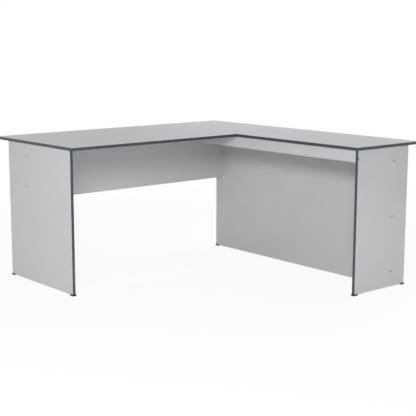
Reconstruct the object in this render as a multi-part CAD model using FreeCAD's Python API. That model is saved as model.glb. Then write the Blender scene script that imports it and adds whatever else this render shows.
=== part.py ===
"""L-shaped office desk of melamine-faced board.

A one-piece L-shaped worktop lies on two end panels, a modesty panel, a return panel and a front rail.
The boards meet in screwed butt joints under cover caps. Cam fittings and dowels hold the worktop from
below, and plastic shoes wrap the lower corners of the boards that stand on the floor.

Millimetres, +Z up. The origin lies on the floor under the middle of the worktop's outer rectangle.
The main wing runs along X at the back (+Y), and the return runs along Y on the right (+X).
"""

import FreeCAD
import Part
import math
import os
from dataclasses import dataclass

# Worktop
DESK_HEIGHT = 750.0
MAIN_LENGTH = 1560.0
MAIN_DEPTH = 740.0
RETURN_LENGTH = 1620.0
RETURN_DEPTH = 480.0
WORKTOP_THICKNESS = 15.0
INNER_CORNER_RADIUS = 4.0

# Standing boards
PANEL_THICKNESS = 15.0
END_OVERHANG = 5.0  # worktop past the outer face of each end panel
LEFT_FRONT_SETBACK = 25.0  # left end panel behind the main wing's front edge
RIGHT_FRONT_SETBACK = 10.0  # right end panel behind the return's inner edge
MODESTY_BACK_SETBACK = 285.0  # back face of the modesty panel from the worktop's back edge
MODESTY_HEIGHT = 300.0
LEFT_PANEL_TAIL = 175.0  # left end panel past the back face of the modesty panel
RETURN_BACK_SETBACK = 185.0  # back face of the return panel from the worktop's right edge
RETURN_PANEL_TAIL = 35.0  # return panel past the back face of the modesty panel
RIGHT_PANEL_TAIL = 105.0  # right end panel past the back face of the return panel
RAIL_HEIGHT = 60.0

# Edging
DARK_EDGING = 2.0
GREY_EDGING = 1.0
EDGING_ROUND = 0.8
EDGING_ROUND_LIMIT = 0.6  # largest share of the dark edging's thickness that its rounding takes

# Shoes under the lower corners, and their screws
SHOE_LENGTH = 28.0
SHOE_BASE = 5.0
SHOE_LIP = 3.0
SHOE_WALL = 3.0
SHOE_CLEARANCE = 0.2
SHOE_CORNER_RADIUS = 2.5
SHOE_SCREW_LENGTH = 20.0
SHOE_SCREW_DIAMETER = 3.5
SHOE_SCREW_HEAD = 7.0
SHOE_SCREW_POINT = 1.0
SHOE_SCREW_RECESS = 1.0  # screw head above the floor

# Joint screws with a hexagon socket, and their cover caps
SCREW_LENGTH = 50.0
SCREW_DIAMETER = 6.3
SCREW_HEAD = 9.0
SCREW_SOCKET = 4.0
SCREW_SOCKET_DEPTH = 3.0
SCREW_TIP = 4.0
SCREW_POINT = 3.0
SCREW_RECESS = 0.3  # screw head below the board's face
SCREW_END_ROOM = 2.0  # hole past the tip
SCREW_EDGE_MARGIN = 1.0  # screw head from the dark edging beside it
CAP_DIAMETER = 12.5
CAP_CROWN = 8.5
CAP_HEIGHT = 1.4
CAP_STEM = 2.2

# Places of the joint screws
MODESTY_SCREW_TOP = 65.0  # upper screw below the worktop
MODESTY_SCREW_BOTTOM = 75.0  # lower screw above the panel's bottom edge
RETURN_SCREW_TOP = 73.0
RETURN_SCREW_BOTTOM = 81.0
RETURN_SCREWS = 3
RAIL_SCREW_BOTTOM = 18.0

# Cam fittings and dowels along the top edges of the standing boards
CAM_DIAMETER = 15.0
CAM_FLOOR = 1.0  # wall of the cam behind the bolt's head
CAM_REACH = 34.0  # cam axis below the worktop
CAM_GROOVE_TURN = 120.0  # degrees from the entry window to the locked place
CAM_DRIVE_LENGTH = 7.0
CAM_DRIVE_WIDTH = 1.2
CAM_DRIVE_DEPTH = 2.0
BOLT_DIAMETER = 7.0
BOLT_NECK = 4.2
BOLT_NECK_LENGTH = 7.5
BOLT_HEAD_LENGTH = 3.0
BOLT_THREAD = 5.0
BOLT_SKIN = 4.0  # worktop left above the bolt's thread
DOWEL_DIAMETER = 8.0
DOWEL_LENGTH = 30.0
DOWEL_CHAMFER = 1.0
DOWEL_SKIN = 5.0  # worktop left above the dowel's hole
FITTING_CLEARANCE = 0.15
CAM_INSET = 70.0  # cam from the end of its board
HOLE_PITCH = 32.0  # dowel from the cam beside it
PIN_SIDES = 10  # flat sides of the hidden screws, bolts and dowels, and of their holes

Vector = FreeCAD.Vector
Rotation = FreeCAD.Rotation
ALONG_X = Vector(1, 0, 0)
ALONG_Y = Vector(0, 1, 0)
UP = Vector(0, 0, 1)
TOLERANCE = 1e-4

# Levels and edges that several pieces share
UNDERSIDE = DESK_HEIGHT - WORKTOP_THICKNESS
LEFT = -MAIN_LENGTH / 2
RIGHT = MAIN_LENGTH / 2
BACK = RETURN_LENGTH / 2
RETURN_END = -RETURN_LENGTH / 2
MAIN_FRONT = BACK - MAIN_DEPTH
RETURN_INNER = RIGHT - RETURN_DEPTH
HALF_PANEL = PANEL_THICKNESS / 2


@dataclass(frozen=True)
class Board:
    """Standing board along X or Y, with its overall ends, middle plane, bottom edge and edging."""

    run: FreeCAD.Vector
    across: FreeCAD.Vector
    middle: float
    start: float
    end: float
    bottom: float
    start_edging: float = 0.0
    end_edging: float = 0.0
    bottom_edging: float = 0.0
    has_cams: bool = True

    def at(self, place, side, height):
        """Point at a place along the run, to one side of the middle plane."""
        return self.run * place + self.across * (self.middle + side) + UP * height

    def slab(self, start, end, bottom, top):
        """Slab of the board's thickness between two places and two heights."""
        return box(self.at(start, -HALF_PANEL, bottom), self.at(end, HALF_PANEL, top))

    def core(self):
        """Board without its edging and holes."""
        start = self.start + self.start_edging
        end = self.end - self.end_edging
        return self.slab(start, end, self.bottom + self.bottom_edging, UNDERSIDE)

    def cam_seats(self):
        """Placements of the cams on the board's top edge, one near each end."""
        return self.fitting_seats(CAM_INSET) if self.has_cams else []

    def dowel_seats(self):
        """Placements of the dowels on the board's top edge, one near each end."""
        return self.fitting_seats(CAM_INSET + HOLE_PITCH)

    def fitting_seats(self, inset):
        """Placements at one distance from each end of the top edge, Y towards the cams' face."""
        places = [self.start + inset, self.end - inset]
        turn = Rotation(ALONG_Y, self.across)
        return [FreeCAD.Placement(self.at(place, 0, UNDERSIDE), turn) for place in places]

    def shoe_seat(self, place, outward):
        """Placement of a shoe at one end of the board, its X axis pointing out of the board."""
        return FreeCAD.Placement(self.at(place, 0, 0), Rotation(ALONG_X, self.run * outward))


def box(low, high):
    """Box between its lowest and highest corners."""
    size = high - low
    return Part.makeBox(size.x, size.y, size.z, low)


def revolved(profile, turn=360):
    """Round solid about Z, a full turn or part of one, from (radius, height) points."""
    points = [Vector(radius, 0, height) for radius, height in profile]
    return Part.Face(Part.makePolygon(points + points[:1])).revolve(Vector(), UP, turn)


def ring(sides, radius, height):
    """Corners of a regular outline about Z, the first one repeated at the end."""
    angles = [2 * math.pi * number / sides for number in range(sides + 1)]
    return [Vector(radius * math.cos(angle), radius * math.sin(angle), height) for angle in angles]


def pin(profile):
    """Pin about Z with flat sides, through rings of (radius, height) from one flat end to the other."""
    rings = [ring(PIN_SIDES, radius, height) for radius, height in profile]
    outlines = [rings[0], rings[-1]]
    for near, far in zip(rings, rings[1:]):
        for side in range(PIN_SIDES):
            outlines.append([near[side], near[side + 1], far[side + 1], far[side], near[side]])
    faces = [Part.Face(Part.makePolygon(outline)) for outline in outlines]
    return Part.makeSolid(Part.makeShell(faces)).removeSplitter()


def hexagon_prism(across_flats, depth):
    """Hexagonal prism that hangs down from the XY plane."""
    return Part.Face(Part.makePolygon(ring(6, across_flats / math.sqrt(3), 0))).extrude(UP * -depth)


def placed(shape, placement):
    """Copy of a shape moved to a placement."""
    return shape.transformed(placement.toMatrix(), True)


def standing_boards():
    """The five standing boards, each placed from the worktop's edges and from the boards it meets."""
    modesty_back = BACK - MODESTY_BACK_SETBACK
    return_back = RIGHT - RETURN_BACK_SETBACK
    left_inner = LEFT + END_OVERHANG + PANEL_THICKNESS
    right_inner = RETURN_END + END_OVERHANG + PANEL_THICKNESS
    right_front = RETURN_INNER + RIGHT_FRONT_SETBACK
    rail_middle = right_front + DARK_EDGING + SCREW_EDGE_MARGIN + SCREW_HEAD / 2
    return {
        "left_end_panel": Board(
            run=ALONG_Y, across=ALONG_X, middle=left_inner - HALF_PANEL,
            start=MAIN_FRONT + LEFT_FRONT_SETBACK, end=modesty_back + LEFT_PANEL_TAIL,
            bottom=SHOE_BASE, start_edging=DARK_EDGING, end_edging=GREY_EDGING,
        ),
        "right_end_panel": Board(
            run=ALONG_X, across=ALONG_Y, middle=right_inner - HALF_PANEL,
            start=right_front, end=return_back + RIGHT_PANEL_TAIL,
            bottom=SHOE_BASE, start_edging=DARK_EDGING, end_edging=GREY_EDGING,
        ),
        "return_panel": Board(
            run=ALONG_Y, across=ALONG_X, middle=return_back - HALF_PANEL,
            start=right_inner, end=modesty_back + RETURN_PANEL_TAIL,
            bottom=SHOE_BASE, end_edging=GREY_EDGING,
        ),
        "modesty_panel": Board(
            run=ALONG_X, across=ALONG_Y, middle=modesty_back - HALF_PANEL,
            start=left_inner, end=return_back - PANEL_THICKNESS,
            bottom=UNDERSIDE - MODESTY_HEIGHT, bottom_edging=GREY_EDGING, has_cams=False,
        ),
        "front_rail": Board(
            run=ALONG_Y, across=ALONG_X, middle=rail_middle,
            start=right_inner, end=modesty_back - PANEL_THICKNESS,
            bottom=UNDERSIDE - RAIL_HEIGHT, bottom_edging=GREY_EDGING, has_cams=False,
        ),
    }


def rounded_strip(strip, outward):
    """Dark edging strip with the two long arrises of its outer face rounded."""
    outer = max(vertex.Point.dot(outward) for vertex in strip.Vertexes)
    longest = max(edge.Length for edge in strip.Edges)
    arrises = [
        edge
        for edge in strip.Edges
        if longest - edge.Length < TOLERANCE
        and all(outer - vertex.Point.dot(outward) < TOLERANCE for vertex in edge.Vertexes)
    ]
    return strip.makeFillet(edging_round(), arrises)


def edging_round():
    """Rounding of the dark edging's arrises, held within its thickness."""
    return min(EDGING_ROUND, EDGING_ROUND_LIMIT * DARK_EDGING)


def board_edgings(boards):
    """Edging on the standing boards: dark and rounded at the fronts, thin and square elsewhere."""
    left, right = boards["left_end_panel"], boards["right_end_panel"]
    return_panel, modesty = boards["return_panel"], boards["modesty_panel"]
    return {
        "left_panel_front_edging": rounded_strip(start_strip(left), -left.run),
        "left_panel_back_edging": end_strip(left),
        "right_panel_front_edging": rounded_strip(start_strip(right), -right.run),
        "right_panel_back_edging": end_strip(right),
        "return_panel_end_edging": end_strip(return_panel),
        "modesty_panel_bottom_edging": bottom_strip(modesty),
        "front_rail_bottom_edging": bottom_strip(boards["front_rail"]),
    }


def start_strip(board):
    """Square strip on the edge at a board's start."""
    return board.slab(board.start, board.start + board.start_edging, board.bottom, UNDERSIDE)


def end_strip(board):
    """Square strip on the edge at a board's end."""
    return board.slab(board.end - board.end_edging, board.end, board.bottom, UNDERSIDE)


def bottom_strip(board):
    """Square strip on a board's bottom edge."""
    return board.slab(board.start, board.end, board.bottom, board.bottom + board.bottom_edging)


def inner_corner_path(inset, start_x, end_y):
    """Edges of the worktop's inner edge, from the main wing's end round the corner to the return's end."""
    radius = INNER_CORNER_RADIUS + inset
    center = Vector(RETURN_INNER - INNER_CORNER_RADIUS, MAIN_FRONT - INNER_CORNER_RADIUS, UNDERSIDE)
    first = center + ALONG_Y * radius
    last = center + ALONG_X * radius
    middle = center + (ALONG_X + ALONG_Y) * (radius / math.sqrt(2))
    start = Vector(start_x, first.y, UNDERSIDE)
    end = Vector(last.x, end_y, UNDERSIDE)
    arc = Part.Arc(first, middle, last).toShape()
    return [Part.makeLine(start, first), arc, Part.makeLine(last, end)]


def worktop_blank():
    """L-shaped worktop board without holes, smaller than the finished outline by the edging."""
    inset = DARK_EDGING
    left, right = LEFT + inset, RIGHT - inset
    back, end = BACK - inset, RETURN_END + inset
    inner = inner_corner_path(inset, left, end)
    around = [inner[-1].lastVertex().Point]
    around += [Vector(x, y, UNDERSIDE) for x, y in ((right, end), (right, back), (left, back))]
    around.append(inner[0].firstVertex().Point)
    outline = Part.Wire(inner + Part.makePolygon(around).Edges)
    return Part.Face(outline).extrude(UP * WORKTOP_THICKNESS)


def inner_edging():
    """Edging round the worktop's inner edge, one strip that bends through the inside corner."""
    start_x, end_y = LEFT + DARK_EDGING, RETURN_END + DARK_EDGING
    visible = inner_corner_path(0, start_x, end_y)
    glued = inner_corner_path(DARK_EDGING, start_x, end_y)
    ends = [
        Part.makeLine(visible[0].firstVertex().Point, glued[0].firstVertex().Point),
        Part.makeLine(visible[-1].lastVertex().Point, glued[-1].lastVertex().Point),
    ]
    outline = Part.Wire(Part.__sortEdges__(visible + glued + ends))
    strip = Part.Face(outline).extrude(UP * WORKTOP_THICKNESS)
    levels = (UNDERSIDE, DESK_HEIGHT)
    lines = [edge.translated(UP * (level - UNDERSIDE)) for edge in visible for level in levels]
    arrises = [edge for edge in strip.Edges if any(same_edge(edge, line) for line in lines)]
    return strip.makeFillet(edging_round(), arrises)


def same_edge(first, second):
    """Whether two edges have the same length and middle."""
    apart = first.CenterOfMass.distanceToPoint(second.CenterOfMass)
    return apart < TOLERANCE and abs(first.Length - second.Length) < TOLERANCE


def worktop_edgings():
    """Edging strips round the worktop. The end strips cover the ends of the strips beside them."""
    inset = DARK_EDGING
    strips = {
        "worktop_left_edging": ((LEFT, MAIN_FRONT), (LEFT + inset, BACK), -ALONG_X),
        "worktop_back_edging": ((LEFT + inset, BACK - inset), (RIGHT, BACK), ALONG_Y),
        "worktop_right_edging": ((RIGHT - inset, RETURN_END + inset), (RIGHT, BACK - inset), ALONG_X),
        "worktop_return_end_edging": ((RETURN_INNER, RETURN_END), (RIGHT, RETURN_END + inset), -ALONG_Y),
    }
    shapes = {"worktop_inner_edging": inner_edging()}
    for name, (low, high, outward) in strips.items():
        strip = box(Vector(*low, UNDERSIDE), Vector(*high, DESK_HEIGHT))
        shapes[name] = rounded_strip(strip, outward)
    return shapes


def joint_screw():
    """Countersunk joint screw with a hexagon socket, hanging down from the board's face."""
    radius, head = SCREW_DIAMETER / 2, SCREW_HEAD / 2
    top = -SCREW_RECESS
    neck = top - (head - radius)
    tip = SCREW_TIP - SCREW_LENGTH
    screw = pin([(head, top), (radius, neck), (radius, tip), (SCREW_POINT / 2, -SCREW_LENGTH)])
    socket = hexagon_prism(SCREW_SOCKET, SCREW_SOCKET_DEPTH)
    return screw.cut(socket.translated(UP * top))


def joint_screw_hole():
    """Hole for a joint screw, countersunk in the first board and plain in the second."""
    radius = SCREW_DIAMETER / 2 + FITTING_CLEARANCE
    mouth = SCREW_HEAD / 2 + SCREW_RECESS + FITTING_CLEARANCE
    bottom = -SCREW_LENGTH - SCREW_END_ROOM
    return pin([(mouth, 0), (radius, radius - mouth), (radius, bottom)])


def cover_cap():
    """Bevelled cover cap on the board's face, with a stem that plugs into the screw's socket."""
    button = revolved([(0, 0), (CAP_DIAMETER / 2, 0), (CAP_CROWN / 2, CAP_HEIGHT), (0, CAP_HEIGHT)])
    stem = hexagon_prism(SCREW_SOCKET - 2 * FITTING_CLEARANCE, CAP_STEM)
    return button.fuse(stem).removeSplitter()


def screw_seats(boards):
    """Placements of the joint screws, Z out of the board's face, by the group that each belongs to."""
    left, right = boards["left_end_panel"], boards["right_end_panel"]
    return_panel, modesty = boards["return_panel"], boards["modesty_panel"]
    rail = boards["front_rail"]
    modesty_heights = [modesty.bottom + MODESTY_SCREW_BOTTOM, UNDERSIDE - MODESTY_SCREW_TOP]
    lowest = return_panel.bottom + RETURN_SCREW_BOTTOM
    step = (UNDERSIDE - RETURN_SCREW_TOP - lowest) / (RETURN_SCREWS - 1)
    return_heights = [lowest + step * number for number in range(RETURN_SCREWS)]
    rail_height = rail.bottom + RAIL_SCREW_BOTTOM
    outer, inner = -HALF_PANEL, HALF_PANEL
    right_seats = [screw_seat(right, return_panel.middle, outer, height) for height in return_heights]
    right_seats.append(screw_seat(right, rail.middle, outer, rail_height))
    corner_seats = [screw_seat(return_panel, modesty.middle, inner, height) for height in modesty_heights]
    corner_seats.append(screw_seat(modesty, rail.middle, inner, rail_height))
    return {
        "left_end": [screw_seat(left, modesty.middle, outer, height) for height in modesty_heights],
        "right_end": right_seats,
        "corner": corner_seats,
    }


def screw_seat(board, place, side, height):
    """Placement of a joint screw on one face of a board."""
    outward = board.across if side > 0 else -board.across
    return FreeCAD.Placement(board.at(place, side, height), Rotation(UP, outward))


def cam():
    """Cam drum, locked on the bolt's head: a window lets the head in, and the groove's lips hold it.

    It is built about Z with the bolt along +X, then laid on its side below a board's top edge. The chamber
    is as wide as lets the rim of the head, whose end lies on the drum's middle, bear on the lips.
    """
    radius = CAM_DIAMETER / 2 - FITTING_CLEARANCE
    floor = -BOLT_DIAMETER / 2 - CAM_FLOOR
    drum = Part.makeCylinder(radius, HALF_PANEL - floor - FITTING_CLEARANCE, UP * floor)
    half_neck = BOLT_NECK / 2 + FITTING_CLEARANCE
    half_head = BOLT_DIAMETER / 2 + FITTING_CLEARANCE
    half_chamber = half_head + FITTING_CLEARANCE
    chord = math.sqrt((BOLT_DIAMETER / 2) ** 2 - half_neck**2)
    chamber = math.hypot(BOLT_HEAD_LENGTH + 2 * FITTING_CLEARANCE, chord)
    upper = [(CAM_DIAMETER, half_neck), (chamber, half_neck), (chamber, half_chamber), (0, half_chamber)]
    lower = [(distance, -height) for distance, height in reversed(upper)]
    groove = revolved(lower + upper, 90 + CAM_GROOVE_TURN).rotated(Vector(), UP, -90)
    window = box(Vector(0, -half_head, -half_head), Vector(CAM_DIAMETER, half_head, half_head))
    drum = drum.cut([groove, window.rotated(Vector(), UP, CAM_GROOVE_TURN)]).cut(cam_drive())
    lying = Rotation(UP, ALONG_X, ALONG_Y, "ZXY")
    return placed(drum, FreeCAD.Placement(UP * -CAM_REACH, lying))


def cam_drive():
    """Cross recess in the face of the cam that a screwdriver turns."""
    top = HALF_PANEL - FITTING_CLEARANCE
    half_length, half_width = CAM_DRIVE_LENGTH / 2, CAM_DRIVE_WIDTH / 2
    floor = top - CAM_DRIVE_DEPTH
    arm = box(Vector(-half_length, -half_width, floor), Vector(half_length, half_width, top))
    return [arm, arm.rotated(Vector(), UP, 90)]


def cam_pocket():
    """Pocket for a cam in a board's face, and the hole for its bolt in the board's top edge."""
    floor = -BOLT_DIAMETER / 2 - CAM_FLOOR
    pocket = Part.makeCylinder(CAM_DIAMETER / 2, HALF_PANEL - floor, Vector(0, floor, -CAM_REACH), ALONG_Y)
    radius = BOLT_DIAMETER / 2 + FITTING_CLEARANCE
    return [pocket, pin([(radius, 0), (radius, -CAM_REACH)])]


def cam_bolt():
    """Bolt that screws into the worktop and ends in the head that the cam holds."""
    shank, neck, thread = BOLT_DIAMETER / 2, BOLT_NECK / 2, BOLT_THREAD / 2
    head_end = FITTING_CLEARANCE - CAM_REACH
    head_top = head_end + BOLT_HEAD_LENGTH
    neck_top = head_top + BOLT_NECK_LENGTH
    thread_end = WORKTOP_THICKNESS - BOLT_SKIN
    return pin(
        [
            (shank, head_end), (shank, head_top), (neck, head_top), (neck, neck_top),
            (shank, neck_top), (shank, 0), (thread, 0), (thread, thread_end),
        ]
    )


def bolt_hole():
    """Blind hole in the worktop for the thread of a cam's bolt."""
    radius = BOLT_THREAD / 2 + FITTING_CLEARANCE
    return pin([(radius, 0), (radius, WORKTOP_THICKNESS - BOLT_SKIN + FITTING_CLEARANCE)])


def dowel():
    """Chamfered dowel that stands half in the board's top edge and half in the worktop."""
    top = WORKTOP_THICKNESS - DOWEL_SKIN - FITTING_CLEARANCE
    bottom = top - DOWEL_LENGTH
    radius = DOWEL_DIAMETER / 2
    end = radius - DOWEL_CHAMFER
    return pin([(end, bottom), (radius, bottom + DOWEL_CHAMFER), (radius, top - DOWEL_CHAMFER), (end, top)])


def dowel_hole():
    """Hole for a dowel through the joint between a board's top edge and the worktop."""
    top = WORKTOP_THICKNESS - DOWEL_SKIN
    radius = DOWEL_DIAMETER / 2 + FITTING_CLEARANCE
    return pin([(radius, top), (radius, top - DOWEL_LENGTH - 2 * FITTING_CLEARANCE)])


def shoe_screw_place():
    """Place of the screw along a shoe, in the middle of the part that lies under the board."""
    return SHOE_CLEARANCE + SHOE_WALL - SHOE_LENGTH / 2


def shoe():
    """Shoe round a board's lower corner. The board's end lies at x = 0 and its middle plane at y = 0."""
    half_pocket = HALF_PANEL + SHOE_CLEARANCE
    half_width = half_pocket + SHOE_WALL
    front = SHOE_CLEARANCE + SHOE_WALL
    height = SHOE_BASE + SHOE_LIP
    block = box(Vector(front - SHOE_LENGTH, -half_width, 0), Vector(front, half_width, height))
    corners = [edge for edge in block.Edges if edge.BoundBox.XMin > 0 and edge.BoundBox.YLength < TOLERANCE]
    block = block.makeFillet(min(SHOE_CORNER_RADIUS, SHOE_WALL), corners)
    pocket_start = Vector(front - 2 * SHOE_LENGTH, -half_pocket, SHOE_BASE)
    pocket = box(pocket_start, Vector(SHOE_CLEARANCE, half_pocket, 2 * height))
    return block.cut([pocket, shoe_screw_hole()])


def shoe_screw():
    """Countersunk wood screw that holds a shoe, pointing up from the sole."""
    head, radius = SHOE_SCREW_HEAD / 2, SHOE_SCREW_DIAMETER / 2
    cone = SHOE_SCREW_RECESS + head - radius
    tip = SHOE_SCREW_RECESS + SHOE_SCREW_LENGTH
    point = SHOE_SCREW_POINT / 2
    screw = pin([(head, SHOE_SCREW_RECESS), (radius, cone), (radius, tip - radius), (point, tip)])
    return screw.translated(ALONG_X * shoe_screw_place())


def shoe_screw_hole():
    """Countersunk hole through a shoe's base and on into the board."""
    head = SHOE_SCREW_HEAD / 2 + FITTING_CLEARANCE
    radius = SHOE_SCREW_DIAMETER / 2 + FITTING_CLEARANCE
    cone = SHOE_SCREW_RECESS + head - radius
    end = SHOE_SCREW_RECESS + SHOE_SCREW_LENGTH
    hole = pin([(head, 0), (head, SHOE_SCREW_RECESS), (radius, cone), (radius, end)])
    return hole.translated(ALONG_X * shoe_screw_place())


def shoe_seats(boards):
    """Placements of the shoes, by node name."""
    left, right = boards["left_end_panel"], boards["right_end_panel"]
    return_panel = boards["return_panel"]
    return {
        "left_front_shoe": left.shoe_seat(left.start, -1),
        "left_back_shoe": left.shoe_seat(left.end, 1),
        "right_front_shoe": right.shoe_seat(right.start, -1),
        "right_back_shoe": right.shoe_seat(right.end, 1),
        "corner_shoe": return_panel.shoe_seat(return_panel.end, 1),
    }


def fittings(boards):
    """Groups of cams, bolts and dowels along the top edge of each standing board."""
    shapes = {}
    for name, board in boards.items():
        if board.has_cams:
            shapes[name + "_cams"] = group(cam(), board.cam_seats())
            shapes[name + "_bolts"] = group(cam_bolt(), board.cam_seats())
        shapes[name + "_dowels"] = group(dowel(), board.dowel_seats())
    return shapes


def group(shape, seats):
    """Compound of copies of one shape, one at each placement."""
    return Part.makeCompound([placed(shape, seat) for seat in seats])


def bored_boards(boards, screws, shoes):
    """Standing boards with the holes for their screws, shoes, cams and dowels."""
    screw_holes = [placed(joint_screw_hole(), seat) for seats in screws.values() for seat in seats]
    shoe_holes = [placed(shoe_screw_hole(), seat) for seat in shoes.values()]
    shapes = {}
    for name, board in boards.items():
        pockets = [placed(hole, seat) for seat in board.cam_seats() for hole in cam_pocket()]
        dowel_holes = [placed(dowel_hole(), seat) for seat in board.dowel_seats()]
        shapes[name] = board.core().cut(screw_holes + shoe_holes + pockets + dowel_holes)
    return shapes


def bored_worktop(boards):
    """Worktop board with the blind holes for the bolts and dowels on its underside."""
    holes = []
    for board in boards.values():
        holes += [placed(bolt_hole(), seat) for seat in board.cam_seats()]
        holes += [placed(dowel_hole(), seat) for seat in board.dowel_seats()]
    return worktop_blank().cut(holes)


def desk():
    """Every piece of the desk, by node name."""
    boards = standing_boards()
    screws = screw_seats(boards)
    shoes = shoe_seats(boards)
    pieces = {"worktop_board": bored_worktop(boards)}
    pieces.update(worktop_edgings())
    pieces.update(bored_boards(boards, screws, shoes))
    pieces.update(board_edgings(boards))
    pieces.update({name: placed(shoe(), seat) for name, seat in shoes.items()})
    pieces["shoe_screws"] = group(shoe_screw(), shoes.values())
    for name, seats in screws.items():
        pieces[name + "_screws"] = group(joint_screw(), seats)
        pieces[name + "_caps"] = group(cover_cap(), seats)
    pieces.update(fittings(boards))
    return pieces


def main():
    """Writes one STEP file for each piece."""
    os.makedirs("parts", exist_ok=True)
    for name, shape in desk().items():
        shape.exportStep(os.path.join("parts", name + ".step"))


main()
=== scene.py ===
"""L-shaped office desk: finishes, moulded fittings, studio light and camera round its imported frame.

Metres, +Z up, in the frame's own axes. The main wing runs along X at the back, the return runs along
Y on the right, and the floor is at z = 0.
"""

import logging
import math
from collections.abc import Callable, Iterable, Sequence
from dataclasses import dataclass
from enum import Enum
from functools import cache

import bmesh
import bpy
from mathutils import Matrix, Vector


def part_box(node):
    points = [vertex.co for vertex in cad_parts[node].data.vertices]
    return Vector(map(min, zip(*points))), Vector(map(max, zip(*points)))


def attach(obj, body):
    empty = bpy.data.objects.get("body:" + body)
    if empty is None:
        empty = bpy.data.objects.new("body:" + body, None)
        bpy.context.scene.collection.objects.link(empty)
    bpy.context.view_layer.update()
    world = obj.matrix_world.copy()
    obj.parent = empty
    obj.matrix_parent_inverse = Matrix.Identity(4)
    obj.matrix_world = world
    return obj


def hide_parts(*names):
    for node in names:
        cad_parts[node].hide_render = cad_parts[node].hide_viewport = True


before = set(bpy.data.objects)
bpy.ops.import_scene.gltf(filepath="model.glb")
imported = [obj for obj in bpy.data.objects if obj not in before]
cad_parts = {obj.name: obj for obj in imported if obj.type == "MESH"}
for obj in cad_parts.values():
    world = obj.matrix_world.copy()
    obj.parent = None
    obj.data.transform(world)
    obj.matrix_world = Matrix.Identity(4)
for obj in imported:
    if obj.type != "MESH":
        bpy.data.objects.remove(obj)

LOG = logging.getLogger("desk")
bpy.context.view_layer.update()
ROOT = "root"
UP = Vector((0.0, 0.0, 1.0))
QUARTER_TURN = 90.0

Triple = tuple[float, float, float]
Corners = tuple[Vector, Vector]
Ring = list[Vector]
Piece = bpy.types.Object
Material = bpy.types.Material
Socket = bpy.types.NodeSocket
Feed = Socket | float | Triple


class Slot(Enum):
    """Material slots of the desk's record."""

    BOARD = "grey_board"
    DARK_EDGING = "dark_edging"
    GREY_EDGING = "grey_edging"
    SHOE = "black_shoe"
    CAP = "cap_grey"
    ZINC = "zinc_steel"
    CAST = "cast_zinc"
    BEECH = "beech"


class Axis(Enum):
    """Axes of the frame, each as a unit direction."""

    X = (1.0, 0.0, 0.0)
    Y = (0.0, 1.0, 0.0)
    Z = (0.0, 0.0, 1.0)

    def drawn_out(self, times: float) -> Triple:
        """Stretch of a pattern that is drawn out along this axis alone."""
        return tuple(1.0 + (times - 1.0) * share for share in self.value)


class Sum(Enum):
    """Sums that a shader tree works out."""

    ADD = "ADD"
    MULTIPLY = "MULTIPLY"
    MAXIMUM = "MAXIMUM"
    ABSOLUTE = "ABSOLUTE"


class Drive(Enum):
    """Recesses that a screw is turned by."""

    HEXAGON = "hexagon"
    CROSS = "cross"

    def radius(self, angle: float, size: float) -> float:
        """Distance from the middle of the recess to its wall.

        Args:
            angle: Direction in the plane of the head, in radians.
            size: Width across the flats of a hexagon, or length of a cross's arms from tip to tip.

        Returns:
            The distance in the units of size.
        """
        if self is Drive.HEXAGON:
            sixth = math.pi / 3
            return size / 2 / math.cos((angle + sixth / 2) % sixth - sixth / 2)
        quarter = angle % (math.pi / 2)
        fold = min(quarter, math.pi / 2 - quarter)
        arm_corner = math.pi / 12
        if fold <= arm_corner:
            return size / 2 / math.cos(fold)
        return size / 2 * math.tan(arm_corner) / math.sin(fold)


class NodeHand:
    """Adds and wires the nodes of one shader tree."""

    def __init__(self, tree: bpy.types.NodeTree) -> None:
        """Takes the tree in hand."""
        self.tree = tree

    def feed(self, socket: Socket, value: Feed) -> None:
        """Links an input socket to another node, or sets it to a constant.

        Args:
            socket: Input socket of a node.
            value: Output socket of another node, or the constant.
        """
        if isinstance(value, Socket):
            self.tree.links.new(value, socket)
        elif socket.type == "RGBA":
            socket.default_value = (*value, 1.0)
        else:
            socket.default_value = value

    def add(
        self, kind: str, inputs: dict[str | int, Feed] | None = None, **settings: str
    ) -> bpy.types.Node:
        """Adds a node.

        Args:
            kind: Blender's name for the kind of node.
            inputs: Values or output sockets for its input sockets, by name or number.
            settings: The node's own options.

        Returns:
            The new node.
        """
        node = self.tree.nodes.new(kind)
        for name, value in settings.items():
            setattr(node, name, value)
        for name, value in (inputs or {}).items():
            self.feed(node.inputs[name], value)
        return node

    def sum(self, kind: Sum, *values: Feed) -> Socket:
        """Output of a sum of one or two values."""
        return self.add("ShaderNodeMath", dict(enumerate(values)), operation=kind.value).outputs[0]

    def seen_directly(self) -> Socket:
        """Whether a ray comes from the camera, straight or by a mirror or through glass.

        Returns:
            Output socket, 1 for such a ray and 0 for one that only carries light.
        """
        path = self.add("ShaderNodeLightPath")
        seen = path.outputs["Is Camera Ray"]
        for ray in ("Is Glossy Ray", "Is Transmission Ray"):
            seen = self.sum(Sum.MAXIMUM, seen, path.outputs[ray])
        return seen

    def either(self, share: Feed, first: Socket, second: Socket) -> Socket:
        """Shader that passes from a first one to a second one."""
        return self.add("ShaderNodeMixShader", {0: share, 1: first, 2: second}).outputs[0]


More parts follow.
